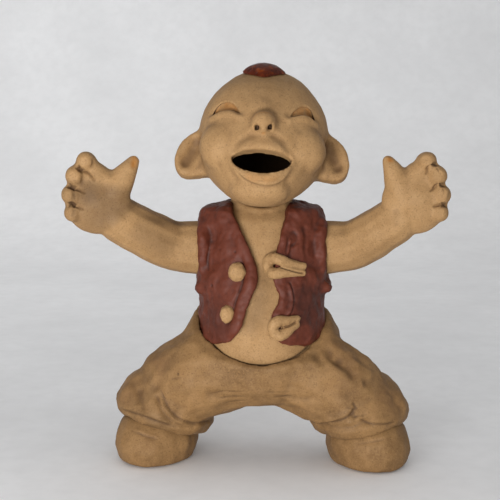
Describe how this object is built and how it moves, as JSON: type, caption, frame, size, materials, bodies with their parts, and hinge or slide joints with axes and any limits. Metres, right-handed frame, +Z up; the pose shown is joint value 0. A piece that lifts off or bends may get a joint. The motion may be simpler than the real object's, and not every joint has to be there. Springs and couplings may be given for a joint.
{
  "type": "clay child figurine",
  "caption": "Hand-built fired clay figurine of a laughing child in an open squat with both arms spread, in a red-brown clay vest over baggy trousers.",
  "frame": {"origin": "centre of the bounding box at the level of the soles", "axes": "+Z up, -Y towards the viewer that the child faces, +X to that viewer's right, which is the child's own left side"},
  "size_m": [0.2212, 0.0917, 0.2336],
  "materials": {
    "buff_clay": "unglazed sandy buff clay",
    "red_clay": "burnished red-brown clay",
    "brown_clay": "unglazed buff clay with brown stain",
    "glazed_red": "glossy red-brown glaze"
  },
  "bodies": {
    "root": {"head": "buff_clay", "hair_tuft": "glazed_red", "torso": "buff_clay", "right_arm": "buff_clay", "left_arm": "buff_clay", "vest": "red_clay", "trousers": "brown_clay", "right_shoe": "brown_clay", "left_shoe": "brown_clay", "upper_knob": "buff_clay", "lower_knob": "buff_clay", "upper_loop": "buff_clay", "lower_loop": "buff_clay"}
  },
  "joints": []
}
